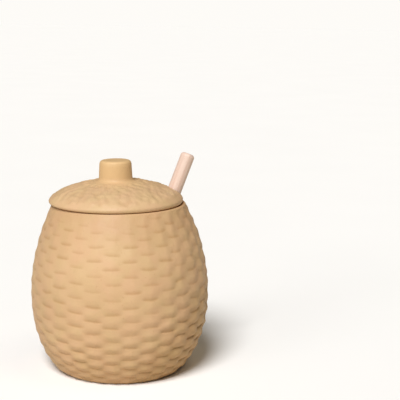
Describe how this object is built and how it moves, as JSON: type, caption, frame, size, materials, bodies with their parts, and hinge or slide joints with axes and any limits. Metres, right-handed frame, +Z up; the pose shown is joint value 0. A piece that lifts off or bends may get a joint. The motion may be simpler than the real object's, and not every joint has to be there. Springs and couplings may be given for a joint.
{
  "type": "honey pot",
  "caption": "Barrel-shaped ceramic honey pot with a basket-weave surface, a loose domed lid with a knob, and a wooden dipper standing out through the lid's notch.",
  "frame": {"origin": "middle of the base, on the surface the pot stands on", "axes": "+Z up; -Y towards the viewer of the picture; +X to the right, the side the dipper leans to"},
  "size_m": [0.104, 0.104, 0.1265],
  "materials": {
    "pot_ceramic": "silky honey-coloured glaze",
    "lid_ceramic": "silky honey-coloured glaze",
    "dowel_wood": "sanded pale wood",
    "head_wood": "turned pale wood"
  },
  "bodies": {
    "pot": {"pot": "pot_ceramic"},
    "lid": {"lid": "lid_ceramic"},
    "dipper": {"dipper_handle": "dowel_wood", "dipper_head": "head_wood"}
  },
  "joints": [
    {"name": "lid_lift", "type": "slide", "parent": "pot", "child": "lid", "axis": [0, 0, 1], "range_m": [0, 0.145]},
    {"name": "dipper_lift", "type": "slide", "parent": "pot", "child": "dipper", "axis": [0, 0, 1], "range_m": [0, 0.105]}
  ],
  "couplings": [
    {"joint": "dipper_lift", "follows": "lid_lift", "ratio": 0.72}
  ]
}
